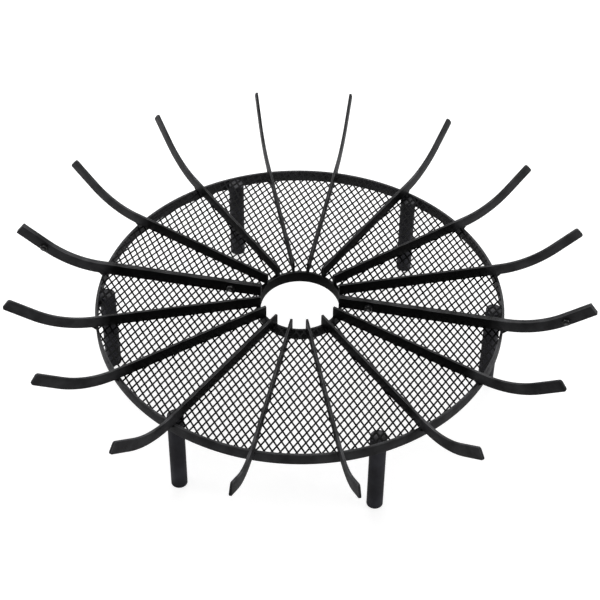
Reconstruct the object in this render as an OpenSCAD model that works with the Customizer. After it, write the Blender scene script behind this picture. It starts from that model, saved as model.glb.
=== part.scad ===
// Wagon-wheel fire pit grate with an ember screen.
// Two welded halves are bolted together along a straight seam. Each half has half a ring, half a
// hub, a row of spokes on edge, two seam bars, a diamond screen and three round legs.
// +Z is up and z = 0 is the ground. The seam lies along X, the back half is on the +Y side, and
// the front half is the back half turned half a turn about Z.

/* [Overall] */
// Width of the grate from spoke tip to spoke tip
grate_w = 914; // [870:1:1100]
// Height of the top of the ring and hub above the ground
deck_z = 152; // [90:1:260]

/* [Ring and hub] */
// Outside diameter of the ring
ring_d = 640; // [520:1:700]
// Outside diameter of the hub
hub_d = 132; // [110:1:200]
// Depth of the flat bar that the ring and hub are bent from, on edge
hoop_h = 20; // [10:0.5:30]
// Thickness of the flat bar that the ring and hub are bent from
hoop_t = 4; // [2:0.1:8]
// Gap at the seam between the ends of two half hoops
hoop_gap = 1; // [0.4:0.1:4]

/* [Spokes] */
// Single spokes in each half, between its two seam bars
spokes_per_half = 7; // [3:1:9]
// Depth of the flat bar that the spokes are cut from, on edge
spoke_h = 20; // [16:0.5:30]
// Thickness of the flat bar that the spokes are cut from
spoke_t = 4; // [2.5:0.1:6]
// Straight length of a spoke beyond the ring before it curves up
bend_out = 3; // [3:0.5:20]
// Radius of the upward curve, on the spoke's top edge
bend_r = 137; // [80:1:190]
// Slope of the straight end of a spoke
tip_angle = 37; // [15:1:50]

/* [Seam bolts] */
// Diameter of the bolts that hold the halves together
bolt_d = 6.35; // [5:0.05:10]
// Length of a bolt under its head
bolt_len = 16; // [14:1:45]
// Extra width of the bolt holes over the bolts
bolt_clear = 1; // [0.4:0.1:2]
// Width of the bolt heads and nuts across their flats
hex_w = 11.1; // [11:0.1:16]
// Height of a bolt head
head_h = 4.2; // [3:0.1:8]
// Height of a nut
nut_h = 5.6; // [4:0.1:10]
// Distance of the outer bolts from the spoke tip, along the middle of the bar
bolt_from_tip = 48; // [15:1:120]
// Distance of the inner bolts from the outside of the hub
bolt_from_hub = 44; // [15:1:120]

/* [Ember screen] */
// Spacing of strands that run the same way, centre to centre
strand_pitch = 10.1; // [8:0.1:25]
// Width of a strand
strand_w = 2.4; // [1:0.1:3]
// Thickness of each of the two crossing layers of strands
strand_t = 0.6; // [0.4:0.1:1.5]
// Lean of the strands to each side of the long axis of a diamond
strand_angle = 31; // [20:0.5:45]
// Turn of the back screen's diamonds from square to the seam
back_turn_angle = 1.7; // [-10:0.1:10]
// Turn of the front screen's diamonds from square to the seam
front_turn_angle = 7.3; // [-10:0.1:10]
// Distance of the cut strand ends from the seam
strand_gap = 1; // [0.5:0.1:3]
// Shortest piece of strand left at the edge of a screen
strand_min = 5; // [3:0.5:10]

/* [Legs] */
// Diameter of the round legs
leg_d = 25; // [20:0.5:40]
// Chamfer around the bottom of a leg
foot_chamfer = 1; // [0.5:0.1:3]
// Angles from the back half's first seam bar to its legs
back_leg_angles = [7.6, 64.6, 122.2]; // [5:0.1:175]
// Angles from the front half's first seam bar to its legs
front_leg_angles = [8.6, 64.4, 123.4]; // [5:0.1:175]

/* [Welds] */
// Length of the sides of the triangular welds below the spokes, outside the ring
spoke_weld = 6; // [4:0.5:14]
// Half the width of the welds between a leg and the ring
leg_weld = 9; // [6.5:0.5:9.5]
// Half the width of the unwelded strip where a leg touches the ring
leg_weld_root = 3; // [1.5:0.1:4]
// Distance of the leg welds from the ring's bottom edge and from the screen
leg_weld_end = 1.5; // [0.5:0.1:4]

/* [Hidden] */
$fn = 96;
// Steps in a full circle for the small welds that fit against the ring
fine = 720;
// How far cutting shapes run past what they cut
over = 1;
reach = grate_w / 2;
ring_r = ring_d / 2;
hub_r = hub_d / 2;
spoke_in_r = hub_r - hoop_t;
spoke_step_angle = 180 / (spokes_per_half + 1);
// Each half is laid out about the middle of its own seam bars, this far from the seam
half_y = spoke_t / 2;

// The spokes are set by hand, and each strays a little from even spacing
back_stray_angles = [-0.2, -0.5, -0.5, 0.1, -1.4, -0.7, -0.1];
front_stray_angles = [-0.5, -1.8, -1.4, -0.7, -1, 0, 0.9];
function stray(strays, i) = i > len(strays) ? 0 : strays[i - 1];
function spoke_angle(strays, i) = i * spoke_step_angle + stray(strays, i);

// Outline of a spoke: x is measured from the middle of the hub, y from the spoke's bottom edge
bend_x = ring_r + bend_out;
bend_low_r = bend_r + spoke_h;
bend_mid_r = bend_r + spoke_h / 2;
tip_len = (reach - bend_x - bend_low_r * sin(tip_angle)) / cos(tip_angle);
// The curved faces reach this far past the straight ones, so that they cross and share an edge
bend_dip = 0.02;
// The curved pieces run on by this angle inside the straight ones
bend_lap = 4;

// Screen, level with the top of the ring and reaching its inner face
screen_t = 2 * strand_t;
screen_z = deck_z - screen_t;
screen_r = ring_r - hoop_t;

// Legs stand inside the ring and touch it
leg_top = screen_z;
leg_r = leg_d / 2;
leg_ring_r = screen_r - leg_r;

// Point on the middle line of a seam bar, at a distance from its tip
function on_tip(s) = [
  bend_x + bend_mid_r * sin(tip_angle) + (tip_len - s) * cos(tip_angle),
  bend_low_r - bend_mid_r * cos(tip_angle) + (tip_len - s) * sin(tip_angle)
];
function on_bend(a) = [bend_x + bend_mid_r * sin(a), bend_low_r - bend_mid_r * cos(a)];
function on_bar(s) =
  let (a = tip_angle - (s - tip_len) / bend_mid_r * 180 / PI)
  s < tip_len ? on_tip(s) : a > 0 ? on_bend(a) : [bend_x + a / 180 * PI * bend_mid_r, spoke_h / 2];

bolt_places = [
  for (side = [-1, 1], p = [[hub_r + bolt_from_hub, spoke_h / 2], on_bar(bolt_from_tip)])
    [side * p.x, 0, deck_z + p.y]
];

function numbered(name, count) = [for (i = [1 : count]) str(name, "_", i)];
back_spokes = numbered("back_spoke", spokes_per_half);
front_spokes = numbered("front_spoke", spokes_per_half);
back_legs = numbered("back_leg", len(back_leg_angles));
front_legs = numbered("front_leg", len(front_leg_angles));

bar_black = [0.10, 0.10, 0.11];
screen_black = [0.13, 0.13, 0.14];
leg_black = [0.12, 0.12, 0.13];
weld_black = [0.09, 0.09, 0.10];
bolt_black = [0.16, 0.16, 0.17];

// Places a shape of the back half, at an angle from its first seam bar
module on_half(angle = 0) {
  translate([0, half_y, 0]) rotate([0, 0, angle]) children();
}

// Makes a shape of the back half into the same shape of the front half
module turned() {
  rotate([0, 0, 180]) children();
}

// A half hoop of flat bar on edge, on the +Y side of the seam
module half_hoop(outer_d) {
  color(bar_black)
    translate([0, 0, deck_z - hoop_h])
      difference() {
        on_half() cylinder(d = outer_d, h = hoop_h);
        on_half() translate([0, 0, -over]) cylinder(d = outer_d - 2 * hoop_t, h = hoop_h + 2 * over);
        translate([-outer_d, hoop_gap / 2 - 2 * outer_d, -over])
          cube([2 * outer_d, 2 * outer_d, hoop_h + 2 * over]);
      }
}

module back_ring() { half_hoop(ring_d); }
module front_ring() { turned() half_hoop(ring_d); }
module back_hub() { half_hoop(hub_d); }
module front_hub() { turned() half_hoop(hub_d); }

// Side view of all that lies above height h on a spoke, as far up as the centre of its bend.
// past is how far it runs on beyond the spoke's two ends
module above(h, past) {
  r = bend_low_r - h;
  translate([bend_x, bend_low_r]) {
    intersection() {
      circle(r = r + bend_dip);
      polygon(2 * r * [
        [0, 0],
        [-sin(bend_lap), -cos(bend_lap)],
        [sin(tip_angle + bend_lap), -cos(tip_angle + bend_lap)]
      ]);
    }
    translate([spoke_in_r - bend_x - past, -r]) square([bend_x - spoke_in_r + past, r + past]);
    rotate(tip_angle) translate([0, -r]) square([tip_len + past, r + past]);
  }
}

// Side outline of a spoke: straight over the deck, curved up outside the ring, straight at the tip
module spoke_outline() {
  difference() {
    above(0, 0);
    above(spoke_h, over);
  }
}

// Stands a side outline up on the deck, along +X and as thick as a bar
module on_edge() {
  translate([0, spoke_t / 2, deck_z]) rotate([90, 0, 0]) linear_extrude(spoke_t) children();
}

// A bar of the back half, at an angle from its first seam bar
module bar_at(angle) {
  color(bar_black) on_half(angle) on_edge() spoke_outline();
}

module back_spoke(i) { bar_at(spoke_angle(back_stray_angles, i)); }
module front_spoke(i) { turned() bar_at(spoke_angle(front_stray_angles, i)); }

// Seam bar at the right-hand end of the back half
module back_seam_bar_right() {
  color(bar_black)
    difference() {
      bar_at(0);
      for (p = bolt_places)
        translate(p) rotate([90, 0, 0])
          cylinder(d = bolt_d + bolt_clear, h = 4 * spoke_t, center = true);
    }
}

module back_seam_bar_left() { mirror([1, 0, 0]) back_seam_bar_right(); }
module front_seam_bar_right() { mirror([0, 1, 0]) back_seam_bar_right(); }
module front_seam_bar_left() { turned() back_seam_bar_right(); }

// One strand, at distance u from the middle, from v0 to v1 along its own length
module strand(u, v0, v1) {
  if (v1 - v0 > strand_min) translate([u - strand_w / 2, v0, 0]) cube([strand_w, v1 - v0, strand_t]);
}

// One layer of strands that all run the same way, cut to fit between the ring, hub and seam.
// lean is the angle of the strands from +Y, and layer is 0 for the lower one and 1 for the upper
module strands(lean, layer) {
  half_w = strand_w / 2;
  rows = ceil(screen_r / strand_pitch);
  color(screen_black)
    on_half(lean)
      translate([0, 0, screen_z + layer * strand_t])
        for (i = [-rows : rows - 1]) {
          u = (i + 0.5) * strand_pitch;
          ring_u = abs(u) + half_w;
          hub_u = max(0, abs(u) - half_w);
          if (ring_u < screen_r) {
            ring_v = sqrt(screen_r * screen_r - ring_u * ring_u);
            seam_v = (strand_gap - half_y - u * sin(lean) + half_w * abs(sin(lean))) / cos(lean);
            start = max(seam_v, -ring_v);
            if (hub_u < hub_r) {
              hub_v = sqrt(hub_r * hub_r - hub_u * hub_u);
              strand(u, max(start, hub_v), ring_v);
              strand(u, start, -hub_v);
            } else {
              strand(u, start, ring_v);
            }
          }
        }
}

module back_screen_lower() { strands(back_turn_angle + strand_angle, 0); }
module back_screen_upper() { strands(back_turn_angle - strand_angle, 1); }
module front_screen_lower() { turned() strands(front_turn_angle + strand_angle, 0); }
module front_screen_upper() { turned() strands(front_turn_angle - strand_angle, 1); }

// Solid round leg, welded inside the ring with its top under the screen
module leg_at(angle) {
  color(leg_black)
    on_half(angle)
      translate([leg_ring_r, 0, 0]) {
        cylinder(d1 = leg_d - 2 * foot_chamfer, d2 = leg_d, h = foot_chamfer);
        translate([0, 0, foot_chamfer]) cylinder(d = leg_d, h = leg_top - foot_chamfer);
      }
}

module back_leg(i) { leg_at(back_leg_angles[i - 1]); }
module front_leg(i) { turned() leg_at(front_leg_angles[i - 1]); }

// Triangular weld between the ring's outer face and the bottom edge of a bar
module spoke_weld_at(angle) {
  $fn = fine;
  on_half(angle) difference() {
    on_edge()
      difference() {
        polygon([
          [ring_r - over, -spoke_weld],
          [ring_r, -spoke_weld],
          [ring_r + spoke_weld, 0],
          [ring_r + spoke_weld, spoke_h / 2],
          [ring_r - over, spoke_h / 2]
        ]);
        spoke_outline();
      }
    translate([0, 0, deck_z - 2 * spoke_weld]) cylinder(r = ring_r, h = 2 * spoke_weld);
  }
}

// The welds below all the spokes and seam bars of the back half
module spoke_welds(strays) {
  color(weld_black) {
    spoke_weld_at(0);
    for (i = [1 : spokes_per_half]) spoke_weld_at(spoke_angle(strays, i));
    spoke_weld_at(180);
  }
}

module back_spoke_welds() { spoke_welds(back_stray_angles); }
module front_spoke_welds() { turned() spoke_welds(front_stray_angles); }

// Two upright welds that fill the corners between each leg of the back half and the ring
module leg_welds(angles) {
  $fn = fine;
  weld_z = deck_z - hoop_h + leg_weld_end;
  weld_h = screen_z - leg_weld_end - weld_z;
  color(weld_black)
    for (a = angles, side = [0, 1])
      on_half(a)
        mirror([0, side, 0])
          translate([0, 0, weld_z])
            difference() {
              intersection() {
                cylinder(r = screen_r, h = weld_h);
                translate([leg_ring_r, leg_weld_root, 0])
                  cube([2 * leg_r, leg_weld - leg_weld_root, weld_h]);
              }
              translate([leg_ring_r, 0, -over]) cylinder(d = leg_d, h = weld_h + 2 * over);
            }
}

module back_leg_welds() { leg_welds(back_leg_angles); }
module front_leg_welds() { turned() leg_welds(front_leg_angles); }

// Hexagon with its axis along the bolt
module hexagon(h) { cylinder(d = hex_w / cos(30), h = h, $fn = 6); }

// The bolts pass through both seam bars, head at the back and thread end at the front
module seam_bolts() {
  color(bolt_black)
    for (p = bolt_places)
      translate(p)
        rotate([90, 0, 0]) {
          translate([0, 0, -spoke_t - head_h]) hexagon(head_h);
          translate([0, 0, -spoke_t]) cylinder(d = bolt_d, h = bolt_len);
        }
}

module seam_nuts() {
  color(bolt_black)
    for (p = bolt_places)
      translate(p)
        rotate([90, 0, 0])
          difference() {
            translate([0, 0, spoke_t]) hexagon(nut_h);
            cylinder(d = bolt_d, h = spoke_t + nut_h + over);
          }
}

back_ring();
front_ring();
back_hub();
front_hub();
for (i = [1 : spokes_per_half]) back_spoke(i);
for (i = [1 : spokes_per_half]) front_spoke(i);
back_seam_bar_right();
back_seam_bar_left();
front_seam_bar_right();
front_seam_bar_left();
back_screen_lower();
back_screen_upper();
front_screen_lower();
front_screen_upper();
for (i = [1 : len(back_legs)]) back_leg(i);
for (i = [1 : len(front_legs)]) front_leg(i);
back_spoke_welds();
front_spoke_welds();
back_leg_welds();
front_leg_welds();
seam_bolts();
seam_nuts();
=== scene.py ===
# %% [markdown]
# # A wagon-wheel fire pit grate
#
# This grate is a wheel of flat steel bars on six short legs. Logs lie on its spokes, a diamond
# mesh under them catches the embers, and ash falls through to the ground. It is made as two
# welded halves with a straight seam between them, and four bolts hold the halves together.
#
# The solid model is loaded first as a fixed frame. Everything added here is placed from it, in
# metres, with +Z up and the seam along X. The back half is on the +Y side.

import math

import bmesh
import bpy
from mathutils import Matrix, Vector


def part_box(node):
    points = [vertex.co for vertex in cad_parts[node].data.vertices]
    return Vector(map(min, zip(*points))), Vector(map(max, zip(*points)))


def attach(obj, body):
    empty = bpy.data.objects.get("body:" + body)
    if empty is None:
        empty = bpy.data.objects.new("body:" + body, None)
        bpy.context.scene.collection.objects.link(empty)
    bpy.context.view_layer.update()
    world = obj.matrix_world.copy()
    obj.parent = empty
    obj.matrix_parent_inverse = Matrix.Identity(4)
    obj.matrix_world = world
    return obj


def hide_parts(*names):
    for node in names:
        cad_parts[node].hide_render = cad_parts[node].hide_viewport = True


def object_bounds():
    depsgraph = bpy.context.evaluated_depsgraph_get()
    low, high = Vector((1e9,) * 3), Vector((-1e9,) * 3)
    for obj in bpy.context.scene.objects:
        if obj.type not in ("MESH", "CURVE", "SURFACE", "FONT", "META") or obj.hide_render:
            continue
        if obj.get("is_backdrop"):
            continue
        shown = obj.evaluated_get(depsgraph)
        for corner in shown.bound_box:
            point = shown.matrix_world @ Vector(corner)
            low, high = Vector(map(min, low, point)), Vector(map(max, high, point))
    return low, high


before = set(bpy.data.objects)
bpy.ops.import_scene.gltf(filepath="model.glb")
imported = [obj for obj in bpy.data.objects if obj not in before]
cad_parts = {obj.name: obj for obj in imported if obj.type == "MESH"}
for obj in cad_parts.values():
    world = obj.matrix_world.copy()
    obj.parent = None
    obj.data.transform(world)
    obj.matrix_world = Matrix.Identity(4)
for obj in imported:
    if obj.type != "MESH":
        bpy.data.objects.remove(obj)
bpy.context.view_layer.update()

# %% [markdown]
# ## Camera
#
# The grate is seen from the front and well above, so that its wheel opens into an ellipse and the
# upturned spoke ends stand clear of each other. A long lens, held a little way back, keeps the
# near and far spokes close to the same size. The camera looks at the middle of the hub, and it
# is turned by less than one degree about its own axis.

# %% Camera
DECK_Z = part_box("back_ring")[1].z
LOOK_AT = Vector((0, 0, DECK_Z))
CAMERA_DISTANCE = 2.585
CAMERA_AZIMUTH = math.radians(-79.2)
CAMERA_ELEVATION = math.radians(43.63)
CAMERA_ROLL = math.radians(0.695)
CAMERA_LENS = 98.76
SENSOR_WIDTH = 36

towards_camera = Vector(
    (
        math.cos(CAMERA_ELEVATION) * math.cos(CAMERA_AZIMUTH),
        math.cos(CAMERA_ELEVATION) * math.sin(CAMERA_AZIMUTH),
        math.sin(CAMERA_ELEVATION),
    )
)
camera_data = bpy.data.cameras.new("camera")
camera_data.lens = CAMERA_LENS
camera_data.sensor_width = SENSOR_WIDTH
camera = bpy.data.objects.new("camera", camera_data)
bpy.context.scene.collection.objects.link(camera)
camera.rotation_mode = "QUATERNION"
camera.rotation_quaternion = (
    towards_camera.to_track_quat("Z", "Y") @ Matrix.Rotation(CAMERA_ROLL, 3, "Z").to_quaternion()
)
camera.location = LOOK_AT + towards_camera * CAMERA_DISTANCE
bpy.context.scene.camera = camera
print("camera at", tuple(round(v, 3) for v in camera.location))

# %% [markdown]
# ## Floor and light
#
# A dark object on white needs a floor that stays white in view and in reflections, and still
# takes the object's soft shadow. One way is to flood it with light, but that would wash out the
# black paint. The floor here is lit gently, and only where the camera sees it does it glow on top
# of that. Light that bounces off it onto the object stays at a plain level.

# %% Floor


def deselect_all():
    if bpy.context.mode != "OBJECT":
        bpy.ops.object.mode_set(mode="OBJECT")
    bpy.ops.object.select_all(action="DESELECT")


deselect_all()
bpy.ops.mesh.primitive_plane_add(size=40, location=(0, 0, 0))
floor = bpy.context.object
floor.name = "floor"

floor_paint = bpy.data.materials.new("white_floor")
floor_paint.use_nodes = True
nodes, links = floor_paint.node_tree.nodes, floor_paint.node_tree.links
nodes.clear()
output = nodes.new("ShaderNodeOutputMaterial")
seen_or_not = nodes.new("ShaderNodeMixShader")
light_path = nodes.new("ShaderNodeLightPath")
unseen_floor = nodes.new("ShaderNodeBsdfDiffuse")
unseen_floor.inputs["Color"].default_value = (0.7, 0.7, 0.7, 1)
seen_floor = nodes.new("ShaderNodeAddShader")
soft_shadow = nodes.new("ShaderNodeBsdfDiffuse")
soft_shadow.inputs["Color"].default_value = (0.5, 0.5, 0.5, 1)
glow = nodes.new("ShaderNodeEmission")
glow.inputs["Strength"].default_value = 0.78
links.new(soft_shadow.outputs[0], seen_floor.inputs[0])
links.new(glow.outputs[0], seen_floor.inputs[1])
links.new(light_path.outputs["Is Camera Ray"], seen_or_not.inputs[0])
links.new(unseen_floor.outputs[0], seen_or_not.inputs[1])
links.new(seen_floor.outputs[0], seen_or_not.inputs[2])
links.new(seen_or_not.outputs[0], output.inputs[0])
floor.data.materials.append(floor_paint)
floor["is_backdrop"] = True
print("floor", floor.name, "is", tuple(round(v, 1) for v in floor.dimensions), "m")

# %% [markdown]
# Four soft boxes light the grate. The wide one behind and above it is mirrored in every face that
# looks up, so the bars' top edges shine softly and their sides stay dark. The one overhead fills
# the shadows. A weak one on the left and one on the right catch the sides of the spokes at the
# back, which turn away from the front, and the pale world light does the rest.

# %% Lights
bpy.context.scene.view_settings.view_transform = "Standard"
world = bpy.data.worlds.new("studio")
bpy.context.scene.world = world
world.use_nodes = True
world.node_tree.nodes["Background"].inputs["Color"].default_value = (1, 1, 1, 1)
world.node_tree.nodes["Background"].inputs["Strength"].default_value = 0.28


def softbox(name, place, size, power):
    light_data = bpy.data.lights.new(name, "AREA")
    light_data.shape = "RECTANGLE"
    light_data.size, light_data.size_y = size
    light_data.energy = power
    light = bpy.data.objects.new(name, light_data)
    bpy.context.scene.collection.objects.link(light)
    light.location = place
    light.rotation_mode = "QUATERNION"
    light.rotation_quaternion = (light.location - LOOK_AT).to_track_quat("Z", "Y")
    print(name, "at", place, "gives", power, "W")


softbox("back_softbox", (-0.4, 2.2, 2.3), (2.8, 1.2), 80)
softbox("overhead_softbox", (-0.3, -0.2, 2.6), (1.6, 1.6), 8)
softbox("left_softbox", (-2.4, -0.1, 1.0), (1.2, 1.2), 12)
softbox("right_softbox", (2.4, -0.1, 1.0), (1.2, 1.2), 12)

# %% [markdown]
# ## Black paint
#
# The whole grate is sprayed with satin black stove paint after it is welded. Under the paint is
# hot-rolled bar with a slightly pitted skin, so the paint isn't even: its colour drifts a little and
# its gloss varies in patches. Inside the ring, over the screen, the bars' colour is darkened as
# painted shade. This stands for the light that the screen and the other bars keep off them, and the
# colour comes back towards the ring and beyond it. A piece can have faces marked, and there the
# paint takes another colour in patches. Along the rounded edges of the bars it is a lighter grey,
# partly where the paint has worn thin and partly as a painted highlight. The bolts' cut ends are
# bare steel, the nuts' rims are a lighter grey that is partly rubbed and partly painted glints, and
# the tops of the legs are near black. One function makes this paint, and each finish gets its own
# scale and strength. All patterns read Object coordinates, so they stay on the steel from every
# side.

# %% Black paint
# Painted shade on the bars: their colour is darkest inside the first radius and whole again at the
# second, by the ring.
PAINTED_SHADE_FULL_R = 0.297
PAINTED_SHADE_END_R = 0.315


def black_paint(name, dark, light, roughness, grain, bump, specular=0.12, marked=None, deck_shade=1):
    """Satin black paint: two close blacks in soft patches, uneven gloss and a fine pitted skin.

    marked is the colour it takes in patches on marked faces. The last argument is how much of its
    colour is left inside the ring: a painted shade over the screen, for the light that the screen
    and the other bars keep off the bars there.
    """
    paint = bpy.data.materials.new(name)
    paint.use_nodes = True
    nodes, links = paint.node_tree.nodes, paint.node_tree.links
    shader = nodes["Principled BSDF"]
    shader.inputs["Specular IOR Level"].default_value = specular
    place = nodes.new("ShaderNodeTexCoord")

    patches = nodes.new("ShaderNodeTexNoise")
    patches.inputs["Scale"].default_value = grain / 12
    patches.inputs["Detail"].default_value = 4
    links.new(place.outputs["Object"], patches.inputs["Vector"])
    colour = nodes.new("ShaderNodeMix")
    colour.data_type = "RGBA"
    colour.inputs["A"].default_value = (*dark, 1)
    colour.inputs["B"].default_value = (*light, 1)
    spread = nodes.new("ShaderNodeMapRange")
    spread.inputs["From Min"].default_value = 0.35
    spread.inputs["From Max"].default_value = 0.65
    links.new(patches.outputs["Fac"], spread.inputs["Value"])
    links.new(spread.outputs["Result"], colour.inputs["Factor"])
    last_colour = colour.outputs["Result"]

    # Painted shade: towards the middle the colour is scaled down, to stand in for the shade over the
    # screen.
    if deck_shade < 1:
        flat_place = nodes.new("ShaderNodeVectorMath")
        flat_place.operation = "MULTIPLY"
        flat_place.inputs[1].default_value = (1, 1, 0)
        links.new(place.outputs["Object"], flat_place.inputs[0])
        from_middle = nodes.new("ShaderNodeVectorMath")
        from_middle.operation = "LENGTH"
        links.new(flat_place.outputs["Vector"], from_middle.inputs[0])
        painted_shade_factor = nodes.new("ShaderNodeMapRange")
        painted_shade_factor.inputs["From Min"].default_value = PAINTED_SHADE_FULL_R
        painted_shade_factor.inputs["From Max"].default_value = PAINTED_SHADE_END_R
        painted_shade_factor.inputs["To Min"].default_value = deck_shade
        painted_shade_factor.inputs["To Max"].default_value = 1
        links.new(from_middle.outputs["Value"], painted_shade_factor.inputs["Value"])
        shaded = nodes.new("ShaderNodeVectorMath")
        shaded.operation = "SCALE"
        links.new(last_colour, shaded.inputs[0])
        links.new(painted_shade_factor.outputs["Result"], shaded.inputs["Scale"])
        last_colour = shaded.outputs["Vector"]

    pits = nodes.new("ShaderNodeTexNoise")
    pits.inputs["Scale"].default_value = grain
    pits.inputs["Detail"].default_value = 6
    pits.inputs["Roughness"].default_value = 0.65
    links.new(place.outputs["Object"], pits.inputs["Vector"])
    gloss = nodes.new("ShaderNodeMapRange")
    gloss.inputs["From Min"].default_value = 0.3
    gloss.inputs["From Max"].default_value = 0.7
    gloss.inputs["To Min"].default_value = roughness - 0.08
    gloss.inputs["To Max"].default_value = roughness + 0.12
    links.new(pits.outputs["Fac"], gloss.inputs["Value"])
    links.new(gloss.outputs["Result"], shader.inputs["Roughness"])

    skin = nodes.new("ShaderNodeBump")
    skin.inputs["Strength"].default_value = bump
    skin.inputs["Distance"].default_value = 0.0004
    links.new(pits.outputs["Fac"], skin.inputs["Height"])
    links.new(skin.outputs["Normal"], shader.inputs["Normal"])

    if marked:
        marks = nodes.new("ShaderNodeAttribute")
        marks.attribute_name = "marked"
        in_patches = nodes.new("ShaderNodeMath")
        in_patches.operation = "MULTIPLY"
        links.new(marks.outputs["Fac"], in_patches.inputs[0])
        links.new(spread.outputs["Result"], in_patches.inputs[1])
        mixed = nodes.new("ShaderNodeMix")
        mixed.data_type = "RGBA"
        mixed.inputs["B"].default_value = (*marked, 1)
        links.new(last_colour, mixed.inputs["A"])
        links.new(in_patches.outputs["Value"], mixed.inputs["Factor"])
        last_colour = mixed.outputs["Result"]
    links.new(last_colour, shader.inputs["Base Color"])
    print("paint", name)
    return paint


bar_paint = black_paint(
    "bar_paint",
    (0.021, 0.021, 0.0225),
    (0.048, 0.048, 0.051),
    roughness=0.46,
    grain=420,
    bump=0.35,
    specular=0.1,
    # marked faces are the rounded edges: partly worn paint, partly a painted highlight
    marked=(0.12, 0.12, 0.125),
    # painted shade: a tenth of the colour is left over the screen
    deck_shade=0.1,
)
screen_paint = black_paint(
    "screen_paint",
    (0.002, 0.002, 0.002),
    (0.005, 0.005, 0.006),
    roughness=0.55,
    grain=900,
    bump=0.2,
    specular=0.045,
)
leg_paint = black_paint(
    "leg_paint",
    (0.028, 0.028, 0.032),
    (0.052, 0.052, 0.062),
    roughness=0.38,
    grain=260,
    bump=0.2,
    specular=0.1,
    # the marked tops of the legs turn almost black
    marked=(0.002, 0.002, 0.002),
)
weld_paint = black_paint(
    "weld_paint",
    (0.004, 0.004, 0.004),
    (0.012, 0.012, 0.012),
    roughness=0.42,
    grain=700,
    bump=0.5,
)
bolt_paint = black_paint(
    "bolt_paint",
    (0.006, 0.006, 0.006),
    (0.016, 0.016, 0.017),
    roughness=0.3,
    grain=900,
    bump=0.15,
    specular=0.35,
    # marked faces: bare steel on the bolts' ends, and on the nuts' rims partly wrench wear, partly
    # painted glints
    marked=(0.3, 0.3, 0.305),
)

# %% [markdown]
# ## How the pieces are made
#
# The steel comes as flat bar with slightly rounded edges. A piece of it is easiest to make as it
# is made in a workshop: start from the bar's cross-section and run it along its path. A box would
# need its bends cut in afterwards. Here a plane is scaled to the cross-section, its corners are
# rounded with a bevel, and the face is then extruded along straights and spun around bends.

# %% Helpers for modelling in edit mode
MERGE_WITHIN = 0.00001
CUT_WITHIN = 0.000001


def active_mesh():
    return bmesh.from_edit_mesh(bpy.context.object.data)


def select_faces(test):
    """Selects only the faces that pass the test, which gets a face."""
    bpy.ops.mesh.select_all(action="DESELECT")
    bpy.ops.mesh.select_mode(type="FACE")
    mesh = active_mesh()
    for face in mesh.faces:
        face.select_set(test(face))
    bmesh.update_edit_mesh(bpy.context.object.data)


def select_edges(test):
    """Selects only the edges that pass the test, which gets an edge."""
    bpy.ops.mesh.select_all(action="DESELECT")
    bpy.ops.mesh.select_mode(type="EDGE")
    mesh = active_mesh()
    for edge in mesh.edges:
        edge.select_set(test(edge))
    bmesh.update_edit_mesh(bpy.context.object.data)


def cut(place, outwards, clear=True, fill=False):
    """Cuts the selection by a plane. With clear, what lies outwards of the plane is deleted."""
    bpy.ops.mesh.bisect(
        plane_co=place, plane_no=outwards, clear_outer=clear, use_fill=fill, threshold=CUT_WITHIN
    )


def apply_modifiers(piece):
    bpy.context.view_layer.objects.active = piece
    for modifier in list(piece.modifiers):
        bpy.ops.object.modifier_apply(modifier=modifier.name)


def finish_piece(piece, paint, slot, smooth_angle=35):
    """Merges doubles, turns the faces outwards, smooths, paints and reports a modelled piece."""
    deselect_all()
    piece.select_set(True)
    bpy.context.view_layer.objects.active = piece
    bpy.ops.object.transform_apply(location=True, rotation=True, scale=True)
    bpy.ops.object.mode_set(mode="EDIT")
    bpy.ops.mesh.select_all(action="SELECT")
    bpy.ops.mesh.remove_doubles(threshold=MERGE_WITHIN)
    bpy.ops.mesh.normals_make_consistent(inside=False)
    bpy.ops.object.mode_set(mode="OBJECT")
    bpy.ops.object.shade_smooth_by_angle(angle=math.radians(smooth_angle))
    piece.data.materials.clear()
    piece.data.materials.append(paint)
    mesh = bmesh.new()
    mesh.from_mesh(piece.data)
    open_edges = sum(1 for edge in mesh.edges if not edge.is_manifold)
    mesh.free()
    faces = len(piece.data.polygons)
    print(piece.name, "has", faces, "faces and", open_edges, "open edges, slot", slot)


def copy_piece(piece, name, matrix):
    """A copy with its own mesh, moved by the matrix inside that mesh."""
    copy = piece.copy()
    copy.data = piece.data.copy()
    copy.name = name
    copy.data.transform(matrix)
    bpy.context.scene.collection.objects.link(copy)
    return copy


def show(piece, slot, *nodes):
    """The piece takes the place of those solids and rides on the frame."""
    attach(piece, "root")
    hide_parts(*nodes)


# %% The bar's cross-section
BAR_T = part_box("back_seam_bar_right")[1].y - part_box("back_seam_bar_right")[0].y
HALF_Y = BAR_T / 2
EDGE_ROUND = 0.0007
EDGE_STEPS = 3
print("bar is", round(BAR_T * 1000, 2), "mm thick, each half laid out", HALF_Y, "m from the seam")


def bar_section(name, place, thickness, depth, turn=0):
    """The rounded cross-section of a flat bar on edge, facing +X, or turned from there about +Z."""
    deselect_all()
    bpy.ops.mesh.primitive_plane_add(size=1, location=place, rotation=(0, math.pi / 2, turn))
    section = bpy.context.object
    section.name = name
    section.scale = (depth, thickness, 1)
    bpy.ops.object.transform_apply(location=True, rotation=True, scale=True)
    bpy.ops.object.mode_set(mode="EDIT")
    bpy.ops.mesh.select_all(action="SELECT")
    bpy.ops.mesh.bevel(
        affect="VERTICES", offset=EDGE_ROUND, offset_type="OFFSET", segments=EDGE_STEPS
    )
    bpy.ops.mesh.select_all(action="SELECT")
    return section


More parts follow.
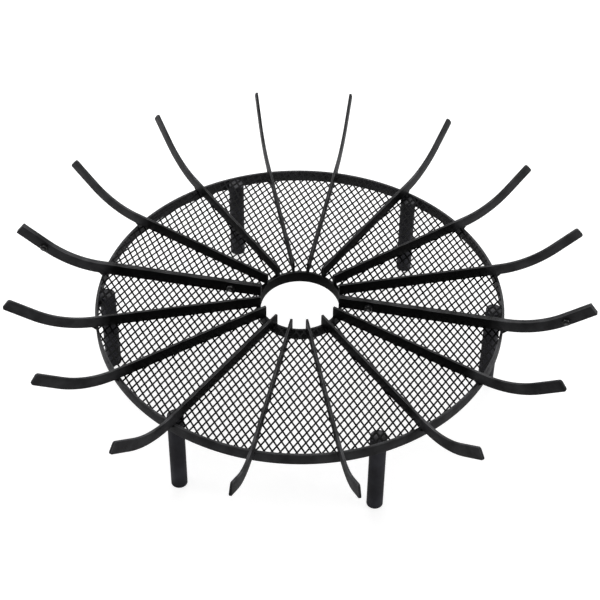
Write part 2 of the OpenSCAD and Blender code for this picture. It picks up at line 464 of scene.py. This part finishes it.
# %% [markdown]
# The paint changes only where a piece says so. The faces that take another colour are marked in a
# colour attribute, which is stored in the mesh and goes along with every copy. These are rubbed
# steel and painted highlights on rounded edges, bare steel and painted glints on the bolts and nuts,
# and the dark tops of the legs. A second paint on those faces would end in a hard line, while a mark
# can be mixed with the paint's own patches.

# %% Helpers for marking faces
UPRIGHT = 0.15
LEVEL = 0.95


def slopes(share):
    """Whether a face slopes, as a rounded edge does, told from its normal's share along an axis."""
    return UPRIGHT < abs(share) < LEVEL


def mark_faces(piece, test):
    """Marks the faces that pass the test, for paint that changes there. The test gets a normal."""
    marks = piece.data.color_attributes.new("marked", "FLOAT_COLOR", "CORNER")
    for face in piece.data.polygons:
        value = 1.0 if test(face.normal) else 0.0
        for corner in face.loop_indices:
            marks.data[corner].color = (value, value, value, 1)


# %% [markdown]
# ## Spokes and seam bars
#
# Each spoke is a length of 20 by 4 mm flat bar that lies over the ring and hub on its edge. Just
# outside the ring it curves up, and it ends in a short straight stretch that keeps logs on the
# grate. All spokes are the same, so one is modelled along +X and then copied around both halves.
# The real spokes are set by hand and stray a little from even spacing, and so do the copies.

# %% One spoke
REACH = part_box("back_seam_bar_right")[1].x
RING_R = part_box("back_ring")[1].x
HUB_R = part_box("back_hub")[1].x
HOOP_T = 0.004
SPOKE_H = 0.020
SPOKE_IN_R = HUB_R - HOOP_T
BEND_FROM_RING = 0.003
BEND_R = 0.137
BEND_X = RING_R + BEND_FROM_RING
BEND_LOW_R = BEND_R + SPOKE_H
TIP_ANGLE = math.radians(37)
TIP_LENGTH = (REACH - BEND_X - BEND_LOW_R * math.sin(TIP_ANGLE)) / math.cos(TIP_ANGLE)
TIP_ALONG = Vector((math.cos(TIP_ANGLE), 0, math.sin(TIP_ANGLE)))
TIP_UP = Vector((-math.sin(TIP_ANGLE), 0, math.cos(TIP_ANGLE)))
BEND_STEPS = 16
print("spokes reach", round(REACH, 4), "m, with tips of", round(TIP_LENGTH * 1000, 1), "mm")

# %% One spoke, along +X from the middle of the hub
spoke = bar_section("spoke", (SPOKE_IN_R, 0, DECK_Z + SPOKE_H / 2), BAR_T, SPOKE_H)
bpy.ops.mesh.extrude_region_move(TRANSFORM_OT_translate={"value": (BEND_X - SPOKE_IN_R, 0, 0)})
bpy.ops.mesh.spin(
    steps=BEND_STEPS, angle=TIP_ANGLE, center=(BEND_X, 0, DECK_Z + BEND_LOW_R), axis=(0, 1, 0)
)
bpy.ops.mesh.extrude_region_move(TRANSFORM_OT_translate={"value": TIP_ALONG * TIP_LENGTH})
bpy.ops.object.mode_set(mode="OBJECT")
square_bar = copy_piece(spoke, "square_bar", Matrix())
print("one bar has", len(spoke.data.polygons), "faces")

# %% [markdown]
# The cut ends are finished next. Every end loses its sharp rim, and on the spokes the two corners
# of the tip are ground round, so that nobody is scratched by them. The seam bars keep square tips,
# so they are copied before the grinding.

# %% Round the spoke's tip
TIP_ROUND = 0.0045
TIP_CUTS = (18, 45, 72)


def on_bar(from_tip):
    """The point in the middle of the bar's depth, on its straight tip, so far from the end."""
    bend_middle = Vector((BEND_X, 0, DECK_Z + BEND_LOW_R))
    return bend_middle - TIP_UP * (BEND_LOW_R - SPOKE_H / 2) + TIP_ALONG * (TIP_LENGTH - from_tip)


def on_tip(face):
    return max(v.co.x for v in face.verts) > REACH - SPOKE_H


deselect_all()
bpy.context.view_layer.objects.active = spoke
bpy.ops.object.mode_set(mode="EDIT")
for side in (1, -1):
    round_middle = on_bar(TIP_ROUND) + TIP_UP * side * (SPOKE_H / 2 - TIP_ROUND)
    for degrees in TIP_CUTS:
        turn = math.radians(degrees)
        outwards = TIP_ALONG * math.cos(turn) + TIP_UP * side * math.sin(turn)
        select_faces(on_tip)
        cut(round_middle + outwards * TIP_ROUND, outwards, fill=True)
bpy.ops.object.mode_set(mode="OBJECT")
print("with a rounded tip it has", len(spoke.data.polygons), "faces")

# %% Dull the ends of both bars
END_ROUND = 0.0004


def on_cut_end(face):
    """Whether a face is on either cut end of a bar, or on a rounded corner there."""
    return (on_tip(face) and face.normal.dot(TIP_ALONG) > 0.2) or face.normal.x < -0.9


def finish_bar(bar):
    """Dulls the rims of a bar's ends, paints it and marks its long rounded edges: rubbed steel and a
    painted highlight.
    """
    deselect_all()
    bpy.context.view_layer.objects.active = bar
    bpy.ops.object.mode_set(mode="EDIT")
    bpy.ops.mesh.select_all(action="SELECT")
    bpy.ops.mesh.normals_make_consistent(inside=False)
    select_faces(on_cut_end)
    bpy.ops.mesh.region_to_loop()
    bpy.ops.mesh.bevel(affect="EDGES", offset=END_ROUND, segments=2)
    finish_piece(bar, bar_paint, "bars")
    # The rounded long edges are marked: partly rubbed steel, partly a painted highlight.
    mark_faces(bar, lambda normal: slopes(normal.y))


finish_bar(spoke)
finish_bar(square_bar)

# %% [markdown]
# The spokes go around each half at even steps of 22.5 degrees, each with its own small stray. The
# front half is the back half turned half a turn, so its spokes are counted from its own first
# seam bar.

# %% Spokes around both halves
SPOKES_PER_HALF = 7
STEP_ANGLE = 180 / (SPOKES_PER_HALF + 1)
STRAYS = {
    "back": (-0.2, -0.5, -0.5, 0.1, -1.4, -0.7, -0.1),
    "front": (-0.5, -1.8, -1.4, -0.7, -1, 0, 0.9),
}
HALF_TURNS = {
    "back": Matrix.Translation((0, HALF_Y, 0)),
    "front": Matrix.Rotation(math.pi, 4, "Z") @ Matrix.Translation((0, HALF_Y, 0)),
}


def on_half(half, angle):
    """Moves a piece from beside +X to its place on a half, at an angle in degrees from the seam."""
    return HALF_TURNS[half] @ Matrix.Rotation(math.radians(angle), 4, "Z")


for half, strays in STRAYS.items():
    for number, stray in enumerate(strays, 1):
        node = half + "_spoke_" + str(number)
        piece = copy_piece(spoke, "painted_" + node, on_half(half, number * STEP_ANGLE + stray))
        show(piece, "bars", node)
    print(half, "half has", len(strays), "spokes")

# %% [markdown]
# The seam bars are the same bar again. Each half has one at either end of its row of spokes, and
# four bolts clamp them in pairs, face to face. Their bolt holes are a millimetre wider than the
# bolts. A drilled hole is cut most simply by taking a rod away from the bar with a boolean.

# %% Seam bars with bolt holes
BOLT_D = 0.00635
HOLE_D = 0.00735
BOLT_FROM_HUB = 0.044
BOLT_FROM_TIP = 0.048
ROUND_STEPS = 32
BOLT_PLACES = [(HUB_R + BOLT_FROM_HUB, DECK_Z + SPOKE_H / 2), on_bar(BOLT_FROM_TIP).xz]
drilled_bar = copy_piece(square_bar, "drilled_bar", Matrix())
for x, z in BOLT_PLACES:
    deselect_all()
    bpy.ops.mesh.primitive_cylinder_add(
        vertices=ROUND_STEPS,
        radius=HOLE_D / 2,
        depth=4 * BAR_T,
        location=(x, 0, z),
        rotation=(math.pi / 2, 0, 0),
    )
    drill = bpy.context.object
    hole = drilled_bar.modifiers.new("hole", "BOOLEAN")
    hole.operation = "DIFFERENCE"
    hole.object = drill
    apply_modifiers(drilled_bar)
    bpy.data.objects.remove(drill)
print("drilled bar has", len(drilled_bar.data.polygons), "faces")

for half in HALF_TURNS:
    for angle in (0, 180):
        side = "right" if (half == "back") == (angle == 0) else "left"
        node = half + "_seam_bar_" + side
        show(copy_piece(drilled_bar, "painted_" + node, on_half(half, angle)), "bars", node)
for spare in (drilled_bar, square_bar, spoke):
    bpy.data.objects.remove(spare)

# %% [markdown]
# ## Ring and hub
#
# The ring and the hub are flat bar bent on edge into half hoops, one pair for each half, with a
# small gap at the seam. A half hoop starts as the bar's cross-section at the seam. It runs
# straight for a moment, turns half a turn about the middle of its own half, and runs straight
# again to the seam. A pipe shape would have no crisp flat faces, so the cross-section is spun.

# %% Half hoops
HOOP_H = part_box("back_ring")[1].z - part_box("back_ring")[0].z
HOOP_GAP = 2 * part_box("back_ring")[0].y
RING_STEPS = 96
HUB_STEPS = 40
HOOP_MIDDLE_Z = DECK_Z - HOOP_H / 2


def half_hoop(name, outer_r, steps):
    """A half hoop of flat bar on edge, laid out about the middle of its half."""
    short_run = HALF_Y - HOOP_GAP / 2
    start = (outer_r - HOOP_T / 2, -short_run, HOOP_MIDDLE_Z)
    hoop = bar_section(name, start, HOOP_T, HOOP_H, math.pi / 2)
    bpy.ops.mesh.extrude_region_move(TRANSFORM_OT_translate={"value": (0, short_run, 0)})
    bpy.ops.mesh.spin(steps=steps, angle=math.pi, center=(0, 0, HOOP_MIDDLE_Z), axis=(0, 0, -1))
    bpy.ops.mesh.extrude_region_move(TRANSFORM_OT_translate={"value": (0, -short_run, 0)})
    finish_piece(hoop, bar_paint, "bars")
    # The rounded edges are marked: partly rubbed steel, partly a painted highlight.
    mark_faces(hoop, lambda normal: slopes(normal.z))
    return hoop


for part, outer_r, steps in (("ring", RING_R, RING_STEPS), ("hub", HUB_R, HUB_STEPS)):
    hoop = half_hoop("half_" + part, outer_r, steps)
    for half in HALF_TURNS:
        node = half + "_" + part
        show(copy_piece(hoop, "painted_" + node, on_half(half, 0)), "bars", node)
    bpy.data.objects.remove(hoop)

# %% [markdown]
# ## Ember screen
#
# The screen is flattened expanded metal: a thin sheet is cut with rows of short slits, pulled open
# into diamonds and rolled flat, so its strands cross at narrow joints and lie in one plane. Wires
# laid over each other would be twice as thick where they cross. The pattern is the same in all
# four quarters of a diamond, so only a quarter is modelled: a rectangle with two opposite corners
# cut off, which leaves one slanting strand. It is mirrored and repeated into a lattice, cut to the
# half circle and made thick.

# %% A quarter of one diamond
STRAND_PITCH = 0.0101
STRAND_ANGLE = math.radians(31)
STRAND_W = 0.00255
DIAMOND_W = STRAND_PITCH / math.cos(STRAND_ANGLE)
DIAMOND_L = STRAND_PITCH / math.sin(STRAND_ANGLE)
SHEET_T = 0.0007
SHEET_BELOW_DECK = 0.0003
SCREEN_TOP = DECK_Z - SHEET_BELOW_DECK
print("diamonds are", round(DIAMOND_W * 1000, 1), "by", round(DIAMOND_L * 1000, 1), "mm")

deselect_all()
strand_middle = Vector((DIAMOND_W / 4, DIAMOND_L / 4, 0))
bpy.ops.mesh.primitive_plane_add(size=1, location=strand_middle)
lattice = bpy.context.object
lattice.name = "lattice"
lattice.scale = (DIAMOND_W / 2, DIAMOND_L / 2, 1)
bpy.ops.object.transform_apply(location=True, rotation=True, scale=True)
bpy.ops.object.mode_set(mode="EDIT")
for side in (1, -1):
    across_strand = Vector((math.cos(STRAND_ANGLE), math.sin(STRAND_ANGLE), 0)) * side
    bpy.ops.mesh.select_all(action="SELECT")
    cut(strand_middle + across_strand * STRAND_W / 2, across_strand)
bpy.ops.object.mode_set(mode="OBJECT")
print("one quarter has", len(lattice.data.vertices), "corners")

# %% The quarter becomes a lattice
COPIES_BESIDE = math.ceil(RING_R / DIAMOND_W)
COPIES_ALONG = math.ceil(RING_R / DIAMOND_L)
quarters = lattice.modifiers.new("quarters", "MIRROR")
quarters.use_axis = (True, True, False)
quarters.merge_threshold = MERGE_WITHIN
for name, step, copies in (
    ("beside", (DIAMOND_W, 0, 0), COPIES_BESIDE),
    ("along", (0, DIAMOND_L, 0), COPIES_ALONG),
):
    row = lattice.modifiers.new(name, "ARRAY")
    row.use_relative_offset = False
    row.use_constant_offset = True
    row.constant_offset_displace = step
    row.count = 2 * copies + 1
    row.use_merge_vertices = True
    row.merge_threshold = MERGE_WITHIN
apply_modifiers(lattice)
to_middle = Matrix.Translation((-COPIES_BESIDE * DIAMOND_W, -COPIES_ALONG * DIAMOND_L, 0))
lattice.data.transform(to_middle)
print("lattice has", len(lattice.data.polygons), "faces")

# %% [markdown]
# Each half's screen is cut from the lattice, which is first turned a little, because the two
# sheets don't lie quite square to the seam. Straight cuts one after another trim it to the ring,
# with its ends hidden in the ring's bar. Around the hub the cuts only divide the strands, and the
# pieces inside the hub are then deleted.

# %% Cut each half's screen to shape
SCREEN_R = RING_R - HOOP_T / 2
SCREEN_HUB_R = HUB_R - HOOP_T / 4
RING_CUTS = 64
HUB_CUTS = 24
NEAR_HUB = 0.012
STRAND_GAP = 0.001
SHEET_TURNS = {"back": 1.7, "front": 7.3}


def near_hub(face):
    """Whether a face is near enough to the hub for a cut around it to reach the face."""
    return face.calc_center_median().length < SCREEN_HUB_R + NEAR_HUB


for half, turn in SHEET_TURNS.items():
    sheet = copy_piece(lattice, "screen_" + half, Matrix.Rotation(math.radians(turn), 4, "Z"))
    deselect_all()
    bpy.context.view_layer.objects.active = sheet
    bpy.ops.object.mode_set(mode="EDIT")
    bpy.ops.mesh.select_all(action="SELECT")
    cut((0, STRAND_GAP - HALF_Y, 0), (0, -1, 0))
    for number in range(RING_CUTS + 1):
        angle = math.pi * number / RING_CUTS
        outwards = Vector((math.cos(angle), math.sin(angle), 0))
        bpy.ops.mesh.select_all(action="SELECT")
        cut(outwards * SCREEN_R, outwards)
    for number in range(HUB_CUTS + 1):
        angle = math.pi * number / HUB_CUTS
        outwards = Vector((math.cos(angle), math.sin(angle), 0))
        select_faces(near_hub)
        cut(outwards * SCREEN_HUB_R, outwards, clear=False)
    select_faces(lambda face: face.calc_center_median().length < SCREEN_HUB_R)
    bpy.ops.mesh.delete(type="FACE")
    bpy.ops.object.mode_set(mode="OBJECT")
    sheet.data.transform(on_half(half, 0) @ Matrix.Translation((0, 0, SCREEN_TOP)))
    thickness = sheet.modifiers.new("thickness", "SOLIDIFY")
    thickness.thickness = SHEET_T
    thickness.offset = -1
    apply_modifiers(sheet)
    finish_piece(sheet, screen_paint, "screen", smooth_angle=20)
    show(sheet, "screen", half + "_screen_lower", half + "_screen_upper")
bpy.data.objects.remove(lattice)

# %% [markdown]
# ## Legs
#
# Each leg is a plain length of 25 mm round bar, welded inside the ring and sawn square at the foot.
# A cylinder alone would have a knife-sharp rim that no sawn and painted bar has, so its foot is
# chamfered and its top rim is eased. Its top face, just under the screen, is marked, and there the
# paint turns almost black in patches.

# %% One leg
LEG_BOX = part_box("back_leg_1")
LEG_D = LEG_BOX[1].x - LEG_BOX[0].x
LEG_TOP = LEG_BOX[1].z
FOOT_CHAMFER = 0.001
TOP_ROUND = 0.0005
AT_TOP = 0.0001
deselect_all()
bpy.ops.mesh.primitive_cylinder_add(
    vertices=64, radius=LEG_D / 2, depth=LEG_TOP, location=(0, 0, LEG_TOP / 2)
)
leg = bpy.context.object
leg.name = "leg"
bpy.ops.object.transform_apply(location=True, rotation=True, scale=True)
bpy.ops.object.mode_set(mode="EDIT")
select_edges(lambda edge: max(v.co.z for v in edge.verts) < LEG_TOP / 2)
bpy.ops.mesh.bevel(affect="EDGES", offset=FOOT_CHAMFER, segments=1)
select_edges(lambda edge: min(v.co.z for v in edge.verts) > LEG_TOP - AT_TOP)
bpy.ops.mesh.bevel(affect="EDGES", offset=TOP_ROUND, segments=2)
finish_piece(leg, leg_paint, "legs")
# The top face is marked, and there the paint turns almost black.
mark_faces(leg, lambda normal: normal.z > LEVEL)
for half in HALF_TURNS:
    for number in (1, 2, 3):
        node = half + "_leg_" + str(number)
        low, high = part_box(node)
        middle = (low + high) / 2
        to_place = Matrix.Translation((middle.x, middle.y, 0))
        show(copy_piece(leg, "painted_" + node, to_place), "legs", node)
bpy.data.objects.remove(leg)

# %% [markdown]
# ## Welds
#
# The welds keep the solids of the frame, whose shapes are right, and get a lumpier paint.

# %% Paint the welds
for name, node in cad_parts.items():
    if name.endswith("_welds"):
        node.data.materials.clear()
        node.data.materials.append(weld_paint)

# %% [markdown]
# ## Bolts and nuts
#
# The halves are held by four quarter-inch bolts, with their heads at the back and their nuts at the
# front. A hexagonal prism looks like a toy bolt. On a real one the corners of the head and nut are
# turned off at an angle, which leaves a round flat face, so the prism is cut by a round bar with a
# bevelled rim. The thread is cut as rings a pitch apart: at this size they look the same as a
# spiral. The bolts' cut ends took little paint. The nuts' bevelled rims are painted lighter, partly
# where the wrench rubbed them and partly as painted glints.

# %% Sizes of the bolts
BOLT_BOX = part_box("seam_bolts")
NUT_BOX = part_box("seam_nuts")
HEX_W = 0.0111
HEAD_H = BOLT_BOX[1].y - BAR_T
BOLT_END = -BOLT_BOX[0].y
NUT_H = -BAR_T - NUT_BOX[0].y
THREAD_PITCH = 0.00127
THREAD_DEPTH = 0.0006
RIM_CUT = 1.15
print("heads", round(HEAD_H * 1000, 1), "mm, nuts", round(NUT_H * 1000, 1), "mm high")


def turned_hexagon(name, height, both_rims):
    """A hexagon with its corners turned off, standing on z = 0 with its round face up."""
    deselect_all()
    corner_r = HEX_W / math.sqrt(3)
    bpy.ops.mesh.primitive_cylinder_add(
        vertices=6,
        radius=corner_r,
        depth=height,
        location=(0, 0, height / 2),
        rotation=(0, 0, math.pi / 6),
    )
    hexagon = bpy.context.object
    hexagon.name = name
    deselect_all()
    bpy.ops.mesh.primitive_cylinder_add(
        vertices=48, radius=corner_r * 1.01, depth=height * 1.001, location=(0, 0, height / 2)
    )
    round_bar = bpy.context.object
    bpy.ops.object.transform_apply(location=True, rotation=True, scale=True)
    bpy.ops.object.mode_set(mode="EDIT")
    select_edges(
        lambda edge: min(v.co.z for v in edge.verts) > height * 0.9
        or (both_rims and max(v.co.z for v in edge.verts) < height * 0.1)
    )
    bpy.ops.mesh.bevel(affect="EDGES", offset=(corner_r - HEX_W / 2) * RIM_CUT, segments=1)
    bpy.ops.object.mode_set(mode="OBJECT")
    turn_off = hexagon.modifiers.new("turn_off", "BOOLEAN")
    turn_off.operation = "INTERSECT"
    turn_off.object = round_bar
    apply_modifiers(hexagon)
    bpy.data.objects.remove(round_bar)
    return hexagon


# %% One bolt and one nut
head = turned_hexagon("head", HEAD_H, False)
deselect_all()
bpy.ops.mesh.primitive_circle_add(vertices=ROUND_STEPS, radius=BOLT_D / 2, fill_type="NGON")
shank = bpy.context.object
bpy.ops.object.mode_set(mode="EDIT")
bpy.ops.mesh.select_all(action="SELECT")
plain_length = BAR_T
bpy.ops.mesh.extrude_region_move(TRANSFORM_OT_translate={"value": (0, 0, -plain_length)})
threads = int((BOLT_END + BAR_T - plain_length) / THREAD_PITCH)
root_scale = 1 - 2 * THREAD_DEPTH / BOLT_D
for number in range(threads):
    for scale in (root_scale, 1 / root_scale):
        bpy.ops.mesh.extrude_region_move(TRANSFORM_OT_translate={"value": (0, 0, -THREAD_PITCH / 2)})
        bpy.ops.transform.resize(value=(scale, scale, 1))
rest = BOLT_END + BAR_T - plain_length - threads * THREAD_PITCH
bpy.ops.mesh.extrude_region_move(TRANSFORM_OT_translate={"value": (0, 0, -rest)})
bpy.ops.transform.resize(value=(root_scale, root_scale, 1))
bpy.ops.object.mode_set(mode="OBJECT")
deselect_all()
shank.select_set(True)
head.select_set(True)
bpy.context.view_layer.objects.active = head
bpy.ops.object.join()
bolt = head
bolt.name = "bolt"

nut = turned_hexagon("nut", NUT_H, True)
deselect_all()
bpy.ops.mesh.primitive_cylinder_add(vertices=ROUND_STEPS, radius=BOLT_D / 2, depth=4 * NUT_H)
tap = bpy.context.object
bore = nut.modifiers.new("bore", "BOOLEAN")
bore.operation = "DIFFERENCE"
bore.object = tap
apply_modifiers(nut)
bpy.data.objects.remove(tap)
finish_piece(bolt, bolt_paint, "fasteners", smooth_angle=30)
finish_piece(nut, bolt_paint, "fasteners", smooth_angle=30)
mark_faces(bolt, lambda normal: normal.z < -LEVEL)
# The nuts' bevelled rims are marked: partly rubbed by the wrench, partly painted glints.
mark_faces(nut, lambda normal: slopes(normal.z))

# %% [markdown]
# A bolt turns as far as it likes before it grips, so no two hexagons sit the same way. Each one
# gets its own turn. Then all four bolts are joined into one piece, and all four nuts into another.

# %% Place the bolts and nuts
HEAD_TURNS = (20, 5, 50, 35)
NUT_TURNS = (30, 0, 10, 25)
HEADS_BACK = Matrix.Rotation(-math.pi / 2, 4, "X")
NUTS_FRONT = Matrix.Rotation(math.pi / 2, 4, "X")


def place_four(piece, name, y, lay, turns, node):
    """Copies the piece to all four bolt places, turned about its own axis, and joins the copies."""
    copies = []
    places = [(side * x, z) for side in (1, -1) for x, z in BOLT_PLACES]
    for (x, z), turn in zip(places, turns):
        matrix = Matrix.Translation((x, y, z)) @ lay @ Matrix.Rotation(math.radians(turn), 4, "Z")
        copies.append(copy_piece(piece, name, matrix))
    deselect_all()
    for copy in copies:
        copy.select_set(True)
    bpy.context.view_layer.objects.active = copies[0]
    bpy.ops.object.join()
    show(copies[0], "fasteners", node)
    bpy.data.objects.remove(piece)
    print(copies[0].name, "has", len(copies[0].data.polygons), "faces")


place_four(bolt, "steel_bolts", BAR_T, HEADS_BACK, HEAD_TURNS, "seam_bolts")
place_four(nut, "steel_nuts", -BAR_T, NUTS_FRONT, NUT_TURNS, "seam_nuts")

# %% Finish
low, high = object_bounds()
print("dressed from", tuple(round(v, 4) for v in low), "to", tuple(round(v, 4) for v in high))
